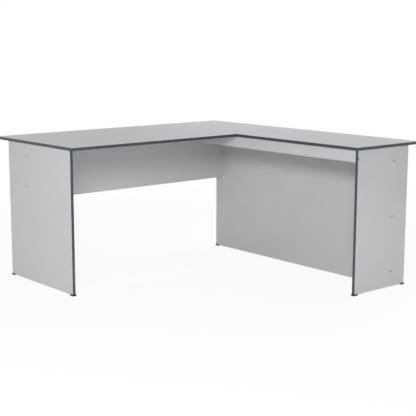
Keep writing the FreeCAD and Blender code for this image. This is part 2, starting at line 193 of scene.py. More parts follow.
class Recipe(NodeHand):
    """Nodes of one procedural material, with patterns of real size in the object's own coordinates."""

    MIX_SHARE, MIX_FIRST, MIX_SECOND, MIX_RESULT = 0, 6, 7, 2
    NOISE_LOW, NOISE_MIDDLE, NOISE_HIGH = 0.3, 0.5, 0.7
    BETWEEN_AXES = math.sqrt(0.5)

    def __init__(self, name: str) -> None:
        """Starts a material from a plain shader.

        Args:
            name: Name of the material.
        """
        self.material = bpy.data.materials.new(name)
        self.material.use_nodes = True
        super().__init__(self.material.node_tree)
        self.shader = self.tree.nodes["Principled BSDF"]
        self.coordinates = self.add("ShaderNodeTexCoord")

    def dress(self, inputs: dict[str, Feed]) -> Material:
        """Feeds the shader.

        Args:
            inputs: Values or output sockets for the shader's sockets, by name.

        Returns:
            The finished material.
        """
        for name, value in inputs.items():
            self.feed(self.shader.inputs[name], value)
        return self.material

    def noise(self, size: float, stretch: Triple = (1.0, 1.0, 1.0), detail: float = 3.0) -> Socket:
        """Noise with features of one size.

        Args:
            size: Width of a feature in metres.
            stretch: How far the features are drawn out along each axis.
            detail: Octaves of finer noise on top.

        Returns:
            Output socket, about NOISE_LOW to NOISE_HIGH.
        """
        scale = tuple(1.0 / (size * times) for times in stretch)
        scaled = {"Vector": self.coordinates.outputs["Object"], "Scale": scale}
        place = self.add("ShaderNodeMapping", scaled).outputs[0]
        inputs = {"Vector": place, "Scale": 1.0, "Detail": detail}
        return self.add("ShaderNodeTexNoise", inputs).outputs[0]

    def spread(
        self, value: Socket, low: float, high: float, start: float = NOISE_LOW, end: float = NOISE_HIGH
    ) -> Socket:
        """Maps one range of values to another and holds what lies outside.

        Args:
            value: Output socket to map.
            low: Result at the start of the range.
            high: Result at the end of the range.
            start: Start of the range, by default that of a noise.
            end: End of the range, by default that of a noise.

        Returns:
            Output socket of the mapped value.
        """
        inputs = {"Value": value, "From Min": start, "From Max": end, "To Min": low, "To Max": high}
        return self.add("ShaderNodeMapRange", inputs).outputs[0]

    def together(self, patterns: Sequence[Socket], shares: Sequence[float]) -> Socket:
        """Adds up shares of patterns.

        Args:
            patterns: Output sockets of the patterns.
            shares: Share of each pattern in the total. A pattern with no share is left out.

        Returns:
            Output socket of the total.
        """
        weighed = [(pattern, share) for pattern, share in zip(patterns, shares) if share]
        parts = [self.sum(Sum.MULTIPLY, pattern, share) for pattern, share in weighed]
        total = parts[0]
        for part in parts[1:]:
            total = self.sum(Sum.ADD, total, part)
        return total

    def blend(self, share: Socket, first: Feed, second: Feed) -> Socket:
        """Colour that passes from a first one to a second one.

        Args:
            share: Output socket, 0 for the first colour and 1 for the second.
            first: First colour.
            second: Second colour.

        Returns:
            Output socket of the blended colour.
        """
        inputs = {self.MIX_SHARE: share, self.MIX_FIRST: first, self.MIX_SECOND: second}
        return self.add("ShaderNodeMix", inputs, data_type="RGBA").outputs[self.MIX_RESULT]

    def relief(self, height: Socket, depth: float) -> Socket:
        """Normal of a surface with a fine relief of a depth in metres."""
        inputs = {"Height": height, "Distance": depth, "Strength": 1.0}
        return self.add("ShaderNodeBump", inputs).outputs[0]

    def facing(self, axis: Axis) -> Socket:
        """How squarely a face looks along an axis.

        Args:
            axis: Axis of the frame.

        Returns:
            Output socket, 1 for a face square to the axis and 0 for one along it.
        """
        inputs = {0: self.coordinates.outputs["Normal"], 1: axis.value}
        along = self.add("ShaderNodeVectorMath", inputs, operation="DOT_PRODUCT")
        return self.sum(Sum.ABSOLUTE, along.outputs["Value"])

    def arris(self) -> Socket:
        """How round a place is: whether its face looks between the axes.

        Returns:
            Output socket, 0 on flat faces and 1 in the middle of a rounded arris.
        """
        squarest = self.facing(Axis.X)
        for axis in (Axis.Y, Axis.Z):
            squarest = self.sum(Sum.MAXIMUM, squarest, self.facing(axis))
        return self.spread(squarest, 1.0, 0.0, self.BETWEEN_AXES, 1.0)


@dataclass(frozen=True)
class BoardFinish:
    """Light grey melamine on chipboard: faint grain, pearled surface, raw chips on the cut edges."""

    slot: Slot = Slot.BOARD
    pale: Triple = (0.5575, 0.555, 0.561)
    deep: Triple = (0.5055, 0.504, 0.513)
    chip_pale: Triple = (0.47, 0.35, 0.22)
    chip_deep: Triple = (0.20, 0.13, 0.075)
    grain_width: float = 0.0012
    grain_stretch: float = 45.0
    cloud_size: float = 0.14
    pearl_size: float = 0.0006
    pearl_depth: float = 0.00002
    chip_size: float = 0.0028
    chip_stretch: float = 2.5
    chip_detail: float = 1.0
    smooth: float = 0.58
    dull: float = 0.72
    raw: float = 0.9
    gloss: float = 0.3
    faced_from: float = 0.6
    faced_to: float = 0.7
    tone_shares: Triple = (0.32, 0.40, 0.28)
    sheen_shares: Triple = (0.4, 0.6, 0.0)
    relief_shares: Triple = (0.3, 0.0, 0.7)

    def material(self, name: str, grain: Axis, thickness: Axis) -> Material:
        """Finish of one board.

        Args:
            name: The board's name.
            grain: Axis that the grain of its faces runs along.
            thickness: Axis square to its faces.

        Returns:
            The board's material.
        """
        recipe = Recipe(f"{self.slot.value}.{name}")
        fibre = recipe.noise(self.grain_width, grain.drawn_out(self.grain_stretch))
        cloud = recipe.noise(self.cloud_size)
        pearl = recipe.noise(self.pearl_size)
        patterns = (fibre, cloud, pearl)
        tone = recipe.together(patterns, self.tone_shares)
        melamine = recipe.blend(recipe.spread(tone, 0.0, 1.0), self.deep, self.pale)
        chips = recipe.noise(self.chip_size, grain.drawn_out(self.chip_stretch), self.chip_detail)
        chipboard = recipe.blend(recipe.spread(chips, 0.0, 1.0), self.chip_deep, self.chip_pale)
        faced = recipe.spread(recipe.facing(thickness), 0.0, 1.0, self.faced_from, self.faced_to)
        sheen = recipe.spread(recipe.together(patterns, self.sheen_shares), self.smooth, self.dull)
        dullness = recipe.sum(Sum.MAXIMUM, sheen, recipe.spread(faced, self.raw, 0.0, 0.0, 1.0))
        height = recipe.together(patterns, self.relief_shares)
        return recipe.dress(
            {
                "Base Color": recipe.blend(faced, chipboard, melamine),
                "Roughness": dullness,
                "Specular IOR Level": self.gloss,
                "Normal": recipe.relief(height, self.pearl_depth),
            }
        )


@dataclass(frozen=True)
class EdgingFinish:
    """Extruded plastic edging: fine lines along its run, and scuffs on its rounded arrises."""

    slot: Slot
    colour: Triple
    tint: Triple
    scuffed: Triple
    line_width: float = 0.0004
    line_stretch: float = 400.0
    line_detail: float = 2.0
    line_depth: float = 0.000012
    scuff_size: float = 0.011
    scuff_detail: float = 6.0
    scuff_share: float = 0.55
    smooth: float = 0.34
    dull: float = 0.48
    gloss: float = 0.45

    def material(self, name: str, across: Axis) -> Material:
        """Finish of the edging of one board.

        Args:
            name: The board's name.
            across: Axis across the edging's visible face, which its lines run square to.

        Returns:
            The edging's material.
        """
        recipe = Recipe(f"{self.slot.value}.{name}")
        drawn = tuple(1.0 if share else self.line_stretch for share in across.value)
        lines = recipe.noise(self.line_width, drawn, self.line_detail)
        scuffs = recipe.noise(self.scuff_size, detail=self.scuff_detail)
        plain = recipe.blend(recipe.spread(lines, 0.0, 1.0), self.colour, self.tint)
        patches = recipe.spread(scuffs, 0.0, self.scuff_share, Recipe.NOISE_MIDDLE)
        wear = recipe.sum(Sum.MULTIPLY, recipe.arris(), patches)
        return recipe.dress(
            {
                "Base Color": recipe.blend(wear, plain, self.scuffed),
                "Roughness": recipe.spread(scuffs, self.smooth, self.dull),
                "Specular IOR Level": self.gloss,
                "Normal": recipe.relief(lines, self.line_depth),
            }
        )


@dataclass(frozen=True)
class MouldedFinish:
    """Moulded plastic with a spark-eroded surface and a little dust and rubbing."""

    slot: Slot
    colour: Triple
    rubbed: Triple
    texture_size: float = 0.0003
    texture_detail: float = 1.0
    texture_depth: float = 0.00002
    rub_size: float = 0.006
    rub_detail: float = 5.0
    rub_share: float = 0.5
    smooth: float = 0.42
    dull: float = 0.58
    gloss: float = 0.4

    @cache
    def material(self) -> Material:
        """Finish of the moulded pieces.

        Returns:
            The material, named for its slot.
        """
        recipe = Recipe(self.slot.value)
        texture = recipe.noise(self.texture_size, detail=self.texture_detail)
        rubs = recipe.noise(self.rub_size, detail=self.rub_detail)
        rubbing = recipe.spread(rubs, 0.0, self.rub_share, Recipe.NOISE_MIDDLE)
        return recipe.dress(
            {
                "Base Color": recipe.blend(rubbing, self.colour, self.rubbed),
                "Roughness": recipe.spread(rubs, self.dull, self.smooth),
                "Specular IOR Level": self.gloss,
                "Normal": recipe.relief(texture, self.texture_depth),
            }
        )


@dataclass(frozen=True)
class MetalFinish:
    """Plated or cast metal with a cloudy tint and a fine grain."""

    slot: Slot
    colour: Triple
    tint: Triple
    smooth: float
    dull: float
    grain_depth: float
    cloud_size: float = 0.003
    grain_size: float = 0.00025
    grain_detail: float = 2.0
    sheen_shares: tuple[float, float] = (0.5, 0.5)

    @cache
    def material(self) -> Material:
        """Finish of the metal pieces.

        Returns:
            The material, named for its slot.
        """
        recipe = Recipe(self.slot.value)
        cloud = recipe.noise(self.cloud_size)
        grain = recipe.noise(self.grain_size, detail=self.grain_detail)
        sheen = recipe.together((cloud, grain), self.sheen_shares)
        return recipe.dress(
            {
                "Base Color": recipe.blend(recipe.spread(cloud, 0.0, 1.0), self.colour, self.tint),
                "Metallic": 1.0,
                "Roughness": recipe.spread(sheen, self.smooth, self.dull),
                "Normal": recipe.relief(grain, self.grain_depth),
            }
        )


@dataclass(frozen=True)
class DowelFinish:
    """Raw beech with fibres and short flecks along the dowel."""

    slot: Slot = Slot.BEECH
    pale: Triple = (0.60, 0.40, 0.23)
    deep: Triple = (0.49, 0.315, 0.175)
    fleck: Triple = (0.30, 0.17, 0.085)
    run: Axis = Axis.Z
    fibre_width: float = 0.0004
    fibre_stretch: float = 30.0
    fleck_width: float = 0.0006
    fleck_stretch: float = 5.0
    fleck_detail: float = 1.0
    fleck_share: float = 0.6
    fleck_from: float = 0.58
    fibre_depth: float = 0.00004
    smooth: float = 0.62
    dull: float = 0.8

    @cache
    def material(self) -> Material:
        """Finish of the dowels.

        Returns:
            The material, named for its slot.
        """
        recipe = Recipe(self.slot.value)
        fibre = recipe.noise(self.fibre_width, self.run.drawn_out(self.fibre_stretch))
        drawn = self.run.drawn_out(self.fleck_stretch)
        flecks = recipe.noise(self.fleck_width, drawn, self.fleck_detail)
        wood = recipe.blend(recipe.spread(fibre, 0.0, 1.0), self.deep, self.pale)
        flecked = recipe.spread(flecks, 0.0, self.fleck_share, self.fleck_from)
        return recipe.dress(
            {
                "Base Color": recipe.blend(flecked, wood, self.fleck),
                "Roughness": recipe.spread(fibre, self.smooth, self.dull),
                "Normal": recipe.relief(fibre, self.fibre_depth),
            }
        )


PieceFinish = MouldedFinish | MetalFinish | DowelFinish

GREY_BOARD = BoardFinish()
DARK_EDGING = EdgingFinish(
    Slot.DARK_EDGING, scuffed=(0.085, 0.091, 0.10),
    colour=(0.037, 0.045, 0.057), tint=(0.046, 0.055, 0.067),
)
GREY_EDGING = EdgingFinish(
    Slot.GREY_EDGING, scuffed=(0.57, 0.57, 0.57),
    colour=(0.50, 0.50, 0.505), tint=(0.525, 0.525, 0.53),
)
BLACK_SHOE = MouldedFinish(Slot.SHOE, colour=(0.007, 0.007, 0.008), rubbed=(0.018, 0.018, 0.019))
GREY_CAP = MouldedFinish(Slot.CAP, colour=(0.275, 0.275, 0.28), rubbed=(0.315, 0.315, 0.315))
ZINC_STEEL = MetalFinish(
    Slot.ZINC, smooth=0.25, dull=0.4, grain_depth=0.000004,
    colour=(0.58, 0.59, 0.60), tint=(0.53, 0.56, 0.60),
)
CAST_ZINC = MetalFinish(
    Slot.CAST, smooth=0.45, dull=0.62, grain_depth=0.00001,
    colour=(0.43, 0.43, 0.44), tint=(0.38, 0.385, 0.39),
)
RAW_BEECH = DowelFinish()


@dataclass(frozen=True)
class Seat:
    """Place of a fitting: a point on the face that it sits in, and the way out of that face."""

    point: Vector
    outward: Vector

    def matrix(self) -> Matrix:
        """Move that sets a fitting, built about +Z, into the seat."""
        turn = UP.rotation_difference(self.outward).to_matrix().to_4x4()
        return Matrix.Translation(self.point) @ turn


def solid_boxes(node: str, reach: float = 0.08) -> list[Corners]:
    """Boxes of the separate solids in a node of the frame.

    Args:
        node: Name of the node.
        reach: Distance that no solid in it exceeds, and by which they all stand apart.

    Returns:
        Lowest and highest corner of each solid.
    """
    groups: list[list[Vector]] = []
    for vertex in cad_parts[node].data.vertices:
        near = [group for group in groups if (group[0] - vertex.co).length < reach]
        if near:
            near[0].append(vertex.co.copy())
        else:
            groups.append([vertex.co.copy()])
    return [corners(group) for group in groups]


def corners(points: Sequence[Vector]) -> Corners:
    """Lowest and highest corner of some points."""
    return Vector(map(min, zip(*points))), Vector(map(max, zip(*points)))


def level_seats(node: str, level: float, outward: Vector) -> list[Seat]:
    """Seats on a level face, over or under the solids of a node.

    Args:
        node: Name of the node.
        level: Height of the face.
        outward: Way out of the face, up or down.

    Returns:
        One seat for each solid.
    """
    middles = [(low + high) / 2 for low, high in solid_boxes(node)]
    return [Seat(Vector((middle.x, middle.y, level)), outward) for middle in middles]


def ring(height: float, radius: float | Callable[[float], float], sides: int) -> Ring:
    """Points round the Z axis at one height.

    Args:
        height: Height of the ring.
        radius: Its radius, or a function that gives the radius at an angle.
        sides: Number of points.

    Returns:
        The points in order.
    """
    points = []
    for number in range(sides):
        angle = math.tau * number / sides
        reach = radius(angle) if callable(radius) else radius
        points.append(Vector((reach * math.cos(angle), reach * math.sin(angle), height)))
    return points


def skin(mesh: bmesh.types.BMesh, rings: Iterable[Ring]) -> None:
    """Adds a closed skin through rings of as many points, with a flat face at either end.

    Args:
        mesh: Mesh to add to.
        rings: The rings in order.
    """
    loops = [[mesh.verts.new(point) for point in points] for points in rings]
    for near, far in zip(loops, loops[1:]):
        for number in range(len(near)):
            after = (number + 1) % len(near)
            mesh.faces.new((near[number], near[after], far[after], far[number]))
    mesh.faces.new(loops[0])
    mesh.faces.new(loops[-1])


def new_object(name: str, mesh: bmesh.types.BMesh, smooth_below: float) -> Piece:
    """Object made from a mesh under construction, which is used up.

    Args:
        name: Name of the object.
        mesh: The mesh.
        smooth_below: Edges that turn by less than this, in degrees, are shaded round.

    Returns:
        The object, linked to the scene.
    """
    bmesh.ops.recalc_face_normals(mesh, faces=mesh.faces)
    data = bpy.data.meshes.new(name)
    mesh.to_mesh(data)
    mesh.free()
    data.shade_smooth()
    data.set_sharp_from_angle(angle=math.radians(smooth_below))
    made = bpy.data.objects.new(name, data)
    bpy.context.scene.collection.objects.link(made)
    return made


def cut(piece: Piece, cutters: Sequence[Piece]) -> None:
    """Cuts solids out of a piece and removes them.

    Args:
        piece: Piece to cut.
        cutters: Solids to cut out.
    """
    for cutter in cutters:
        modifier = piece.modifiers.new(cutter.name, "BOOLEAN")
        modifier.operation = "DIFFERENCE"
        modifier.solver = "EXACT"
        modifier.object = cutter
    shaped = piece.evaluated_get(bpy.context.evaluated_depsgraph_get())
    blank, piece.data = piece.data, bpy.data.meshes.new_from_object(shaped)
    piece.modifiers.clear()
    bpy.data.meshes.remove(blank)
    for cutter in cutters:
        bpy.data.meshes.remove(cutter.data)


def dress_node(node: str, material: Material) -> Piece:
    """Gives a piece of the frame its finish.

    Args:
        node: Name of the node.
        material: Its finish.

    Returns:
        The node's object.
    """
    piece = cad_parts[node]
    for place in piece.material_slots:
        place.material = material
    return piece


def dress_piece(piece: Piece, node: str, finish: PieceFinish) -> Piece:
    """Gives a modelled piece its finish and sets it in the place of the node that it stands for.

    Args:
        piece: The piece.
        node: Name of the node.
        finish: Its finish.

    Returns:
        The piece.
    """
    piece.data.materials.clear()
    piece.data.materials.append(finish.material())
    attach(piece, ROOT)
    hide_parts(node)
    return piece


class Fitting:
    """Small fitting with a skin through rings about +Z, of which a board has one in every seat."""

    smooth_below: float

    def rings(self) -> list[Ring]:
        """Rings of the skin in order, which each kind of fitting gives."""
        raise NotImplementedError

    def set_in(self, node: str, look: str, seats: Iterable[Seat], finish: PieceFinish) -> Piece:
        """Models the fittings of a node as one piece.

        Args:
            node: Name of the node that they stand for.
            look: What is modelled on them, which ends the piece's name.
            seats: Where they go.
            finish: Their finish.

        Returns:
            The piece.
        """
        rings = self.rings()
        mesh = bmesh.new()
        for seat in seats:
            move = seat.matrix()
            skin(mesh, [[move @ point for point in points] for points in rings])
        return dress_piece(new_object(f"{node}_{look}", mesh, self.smooth_below), node, finish)


@dataclass
class EdgedBoard:
    """Board with the strips of edging on its free edges."""

    board: str
    thickness: Axis
    grain: Axis
    dark_edging: tuple[str, ...] = ()
    grey_edging: tuple[str, ...] = ()

    def build(self) -> list[Piece]:
        """Dresses the board and its edging.

        Returns:
            The dressed pieces.
        """
        dressed = [dress_node(self.board, GREY_BOARD.material(self.board, self.grain, self.thickness))]
        for finish, edgings in ((DARK_EDGING, self.dark_edging), (GREY_EDGING, self.grey_edging)):
            if edgings:
                strip = finish.material(self.board, self.thickness)
                dressed += [dress_node(edging, strip) for edging in edgings]
        return dressed


@dataclass(frozen=True)
class Thread:
    """Screw thread with a sharp ridge on a core."""

    core: float
    crest: float
    pitch: float
    ridge_share: float = 0.5
    rings_per_turn: int = 8

    def radius(self, angle: float, height: float) -> float:
        """Radius of the thread at one place.

        Args:
            angle: Angle about the screw's axis, in radians.
            height: Height along the axis.

        Returns:
            A radius between the core and the crest.
        """
        turn = (height / self.pitch - angle / math.tau) % 1.0
        from_crest = min(turn, 1.0 - turn)
        rise = max(0.0, 1.0 - from_crest / (self.ridge_share / 2))
        return self.core + (self.crest - self.core) * rise

    def turned(self, height: float, share: float, sides: int) -> Ring:
        """Ring of the thread at one height, drawn in to a share of its radius."""
        return ring(height, lambda angle: share * self.radius(angle, height), sides)

    def rings(self, start: float, end: float, sides: int, taper: float = 1.0) -> list[Ring]:
        """Rings of a threaded length.

        Args:
            start: Height where the thread starts.
            end: Height where it ends.
            sides: Points of each ring.
            taper: Share of the radius that is left at the end.

        Returns:
            The rings from the start to the end.
        """
        steps = max(1, round(abs(end - start) / self.pitch * self.rings_per_turn))
        made = []
        for step in range(steps + 1):
            height = start + (end - start) * step / steps
            made.append(self.turned(height, 1.0 + (taper - 1.0) * step / steps, sides))
        return made


@dataclass(frozen=True)
class Screw(Fitting):
    """Countersunk screw that hangs down from a face at z = 0."""

    length: float
    head: float
    recess: float
    neck: float
    neck_length: float
    tip: float
    tip_share: float
    thread: Thread
    drive: Drive
    drive_size: float
    drive_depth: float
    sides: int = 24
    smooth_below: float = 32.0

    def drive_radius(self, angle: float) -> float:
        """Distance from the screw's axis to the wall of its drive."""
        return self.drive.radius(angle, self.drive_size)

    def rings(self) -> list[Ring]:
        """Rings from the floor of the drive over the head and down to the point.

        Returns:
            The rings in order.
        """
        top = -self.recess
        shoulder = top - (self.head - self.neck) / 2
        thread_start = shoulder - self.neck_length
        tip_start = self.tip - self.length
        made = [ring(level, self.drive_radius, self.sides) for level in (top - self.drive_depth, top)]
        made += [ring(top, self.head / 2, self.sides), ring(shoulder, self.neck / 2, self.sides)]
        made.append(ring(thread_start, self.neck / 2, self.sides))
        made += self.thread.rings(thread_start, tip_start, self.sides)
        return made + self.thread.rings(tip_start, -self.length, self.sides, self.tip_share)[1:]


@dataclass(frozen=True)
class CoverCap(Fitting):
    """Domed cover cap on a board's face, with a six-sided stem that plugs into the screw below."""

    diameter: float = 0.0125
    height: float = 0.0014
    rim: float = 0.00045
    stem: float = 0.0037
    stem_length: float = 0.0022
    crown_steps: int = 9
    crown_end: float = 0.06
    sides: int = 48
    smooth_below: float = 40.0

    def stem_radius(self, angle: float) -> float:
        """Distance from the cap's axis to the side of its stem."""
        return Drive.HEXAGON.radius(angle, self.stem)

    def rings(self) -> list[Ring]:
        """Rings from the end of the stem round the rim to the middle of the crown.

        Returns:
            The rings in order.
        """
        made = [ring(level, self.stem_radius, self.sides) for level in (-self.stem_length, 0.0)]
        made.append(ring(0.0, self.diameter / 2, self.sides))
        for step in range(self.crown_steps + 1):
            turn = math.acos(self.crown_end) * step / self.crown_steps
            height = self.rim + (self.height - self.rim) * math.sin(turn)
            made.append(ring(height, self.diameter / 2 * math.cos(turn), self.sides))
        return made


@dataclass
class ScrewedJoint:
    """Joint screws where two boards meet, each under its cover cap."""

    name: str
    facing: int
    cap: CoverCap = CoverCap()
    screw: Screw = Screw(
        length=0.05, head=0.0088, recess=0.0003, neck=0.0058, neck_length=0.009,
        tip=0.004, tip_share=0.55, thread=Thread(core=0.0021, crest=0.003, pitch=0.003),
        drive=Drive.HEXAGON, drive_size=0.004, drive_depth=0.003,
    )

    def seats(self) -> list[Seat]:
        """Seats on the board's face, read from the boxes of the caps.

        Returns:
            One seat for each cap.
        """
        found = []
        for low, high in solid_boxes(f"{self.name}_caps"):
            size = high - low
            side = min(range(3), key=lambda number: size[number])
            outward = Vector([self.facing if number == side else 0.0 for number in range(3)])
            point = (low + high) / 2
            point[side] = (high if self.facing > 0 else low)[side] - self.facing * self.cap.height
            found.append(Seat(point, outward))
        return found

    def build(self) -> list[Piece]:
        """Models the screws and the caps over them.

        Returns:
            The two pieces.
        """
        seats = self.seats()
        return [
            self.screw.set_in(f"{self.name}_screws", "threaded", seats, ZINC_STEEL),
            self.cap.set_in(f"{self.name}_caps", "domed", seats, GREY_CAP),
        ]


@dataclass
class Shoes:
    """Moulded shoes round the lower corners of the boards, and the screws that hold them."""

    outward: tuple[tuple[str, Triple], ...] = (
        ("left_front_shoe", (0.0, -1.0, 0.0)),
        ("left_back_shoe", (0.0, 1.0, 0.0)),
        ("right_front_shoe", (-1.0, 0.0, 0.0)),
        ("right_back_shoe", (1.0, 0.0, 0.0)),
        ("corner_shoe", (0.0, 1.0, 0.0)),
    )
    wall: float = 0.003
    base: float = 0.005
    clearance: float = 0.0002
    corner_radius: float = 0.0025
    corner_steps: int = 6
    arris: float = 0.0006
    arris_steps: int = 3
    arris_profile: float = 0.5
    sharp_from: float = 50.0
    cut_past: float = 0.01
    sole: float = 0.0
    screw_node: str = "shoe_screws"
    hole_clearance: float = 0.00015
    screw: Screw = Screw(
        length=0.021, head=0.007, recess=0.001, neck=0.0032, neck_length=0.002,
        tip=0.004, tip_share=0.25, thread=Thread(core=0.00115, crest=0.0017, pitch=0.0016),
        drive=Drive.CROSS, drive_size=0.0034, drive_depth=0.0014,
    )

    def outline(self, length: float, half_width: float) -> list[Vector]:
        """Plan of a shoe from above, with its outer corners rounded.

        Args:
            length: Length along the board.
            half_width: Half of the width across the board.

        Returns:
            Points round the plan. The board's end lies at x = 0, and x points out of the board.
        """
        front = self.wall + self.clearance
        points = [Vector((front - length, half_width, 0.0)), Vector((front - length, -half_width, 0.0))]
        middle = front - self.corner_radius
        for side, start in ((-1, -QUARTER_TURN), (1, 0.0)):
            for step in range(self.corner_steps + 1):
                angle = math.radians(start + QUARTER_TURN * step / self.corner_steps)
                x = middle + self.corner_radius * math.cos(angle)
                y = side * (half_width - self.corner_radius) + self.corner_radius * math.sin(angle)
                points.append(Vector((x, y, 0.0)))
        return points

    def block(self, name: str, length: float, half_width: float, height: float) -> Piece:
        """Solid block of a shoe with softened arrises, before its pocket and hole are cut.

        Args:
            name: Name of the object.
            length: Length along the board.
            half_width: Half of the width across the board.
            height: Height from the sole to the top of the lips.

        Returns:
            The block.
        """
        mesh = bmesh.new()
        outline = self.outline(length, half_width)
        skin(mesh, [outline, [point + UP * height for point in outline]])
        bmesh.ops.recalc_face_normals(mesh, faces=mesh.faces)
        sharp = math.radians(self.sharp_from)
        arrises = [edge for edge in mesh.edges if edge.calc_face_angle() > sharp]
        bmesh.ops.bevel(
            mesh, geom=arrises, affect="EDGES",
            offset=self.arris, segments=self.arris_steps, profile=self.arris_profile,
        )
        return new_object(name, mesh, self.sharp_from)

    def pocket(self, length: float, half_width: float, height: float) -> Piece:
        """Room for the board's corner.

        Args:
            length: Length of the shoe.
            half_width: Half of its width.
            height: Its height.

        Returns:
            Solid to cut out of the block.
        """
        half, back, front = half_width - self.wall, -length - self.cut_past, self.clearance
        plan = ((back, -half), (front, -half), (front, half), (back, half))
        mesh = bmesh.new()
        skin(mesh, [[Vector((x, y, z)) for x, y in plan] for z in (self.base, height + self.cut_past)])
        return new_object("shoe_pocket", mesh, self.sharp_from)

    def hole(self, length: float) -> Piece:
        """Countersunk hole through the base, in the middle of the part that lies under the board.

        Args:
            length: Length of the shoe.

        Returns:
            Solid to cut out of the block.
        """
        head = self.screw.head / 2 + self.hole_clearance
        neck = self.screw.neck / 2 + self.hole_clearance
        cone = self.screw.recess + head - neck
        top = self.base + self.cut_past
        profile = ((head, -self.cut_past), (head, self.screw.recess), (neck, cone), (neck, top))
        place = Vector((self.wall + self.clearance - length / 2, 0.0, 0.0))
        mesh = bmesh.new()
        rings = [ring(level, radius, self.screw.sides) for radius, level in profile]
        skin(mesh, [[place + point for point in points] for points in rings])
        return new_object("shoe_hole", mesh, self.sharp_from)

    def shoe(self, node: str, outward: Vector) -> Piece:
        """Models one shoe where its node lies.

        Args:
            node: Name of the node.
            outward: Direction along the board and out of its end.

        Returns:
            The shoe.
        """
        low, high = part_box(node)
        size, middle = high - low, (low + high) / 2
        length = abs(size.dot(outward))
        half_width = (size.x + size.y - length) / 2
        made = self.block(f"{node}_moulded", length, half_width, size.z)
        cut(made, [self.pocket(length, half_width, size.z), self.hole(length)])
        board_end = middle + outward * (length / 2 - self.wall - self.clearance)
        turn = Matrix.Rotation(math.atan2(outward.y, outward.x), 4, "Z")
        made.data.transform(Matrix.Translation((board_end.x, board_end.y, low.z)) @ turn)
        return made

    def build(self) -> list[Piece]:
        """Models the shoes and their screws.

        Returns:
            The pieces.
        """
        pieces = []
        for node, outward in self.outward:
            pieces.append(dress_piece(self.shoe(node, Vector(outward)), node, BLACK_SHOE))
        seats = level_seats(self.screw_node, self.sole, -UP)
        pieces.append(self.screw.set_in(self.screw_node, "threaded", seats, ZINC_STEEL))
        return pieces


@dataclass(frozen=True)
class CamBolt(Fitting):
    """Bolt that screws up into the worktop from z = 0 and ends below in the head that the cam holds."""

    reach: float = 0.03385
    head_length: float = 0.003
    neck_length: float = 0.0075
    shank: float = 0.0067
    neck: float = 0.0042
    soft: float = 0.0004
    thread_length: float = 0.011
    thread: Thread = Thread(core=0.0017, crest=0.0024, pitch=0.002)
    sides: int = 24
    smooth_below: float = 32.0

    def rings(self) -> list[Ring]:
        """Rings from the head's end up to the end of the thread.

        Returns:
            The rings in order.
        """
        head_top = self.head_length - self.reach
        neck_top = head_top + self.neck_length
        shank, neck, soft = self.shank / 2, self.neck / 2, self.soft
        profile = (
            (shank - soft, -self.reach), (shank, soft - self.reach), (shank, head_top - soft),
            (shank - soft, head_top), (neck, head_top), (neck, neck_top), (shank - soft, neck_top),
            (shank, neck_top + soft), (shank, -soft), (shank - soft, 0.0),
        )
        made = [ring(height, radius, self.sides) for radius, height in profile]
        return made + self.thread.rings(0.0, self.thread_length, self.sides)


@dataclass(frozen=True)
class Dowel(Fitting):
    """Fluted dowel, half in a board's top edge and half in the worktop above z = 0."""

    diameter: float = 0.0078
    length: float = 0.03
    top: float = 0.00985
    chamfer: float = 0.001
    flutes: int = 20
    flute_depth: float = 0.0003
    points_per_flute: int = 3
    smooth_below: float = 25.0

    def rings(self) -> list[Ring]:
        """Rings from the lower end to the upper end.

        Returns:
            The rings in order.
        """
        bottom, radius = self.top - self.length, self.diameter / 2
        profile = (
            (radius - self.chamfer, bottom), (radius, bottom + self.chamfer),
            (radius, self.top - self.chamfer), (radius - self.chamfer, self.top),
        )
        return [self.fluted(height, reach) for reach, height in profile]

    def fluted(self, height: float, radius: float) -> Ring:
        """Ring with a groove at every flute.

        Args:
            height: Height of the ring.
            radius: Radius over the lands between the flutes.

        Returns:
            The ring.
        """
        points = ring(height, radius, self.flutes * self.points_per_flute)
        share = 1.0 - self.flute_depth / radius
        for point in points[:: self.points_per_flute]:
            point.x *= share
            point.y *= share
        return points


@dataclass
class TopFittings:
    """Fittings along a board's top edge: dowels and, on most boards, cams with their bolts."""

    board: str
    has_cams: bool = True
    bolt: CamBolt = CamBolt()
    dowel: Dowel = Dowel()

    def build(self) -> list[Piece]:
        """Models the dowels and bolts and dresses the cams.

        Returns:
            The pieces.
        """
        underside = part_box("worktop_board")[0].z
        dowels, bolts = f"{self.board}_dowels", f"{self.board}_bolts"
        pieces = [self.dowel.set_in(dowels, "fluted", level_seats(dowels, underside, UP), RAW_BEECH)]
        if self.has_cams:
            seats = level_seats(bolts, underside, UP)
            pieces.append(self.bolt.set_in(bolts, "threaded", seats, ZINC_STEEL))
            pieces.append(dress_node(f"{self.board}_cams", CAST_ZINC.material()))
        return pieces


@dataclass(frozen=True)
class Softbox:
    """Flat studio lamp, out of the camera's sight, that looks at its aim. Angles are in degrees."""

    name: str
    bearing: float
    elevation: float
    power: float
    distance: float = 5.0
    width: float = 2.4
    height: float = 1.6
    aim: Triple = (0.1, 0.0, 0.45)

    def outward(self) -> Vector:
        """Direction from the desk to the lamp."""
        level = Matrix.Rotation(math.radians(-self.elevation), 3, "Y") @ Vector(Axis.X.value)
        return Matrix.Rotation(math.radians(self.bearing), 3, "Z") @ level

    def build(self) -> None:
        """Hangs the lamp."""
        data = bpy.data.lights.new(self.name, "AREA")
        data.shape = "RECTANGLE"
        data.size = self.width
        data.size_y = self.height
        data.energy = self.power
        lamp = bpy.data.objects.new(self.name, data)
        lamp.location = Vector(self.aim) + self.outward() * self.distance
        lamp.rotation_euler = self.outward().to_track_quat("Z", "Y").to_euler()
        lamp.visible_camera = False
        bpy.context.scene.collection.objects.link(lamp)


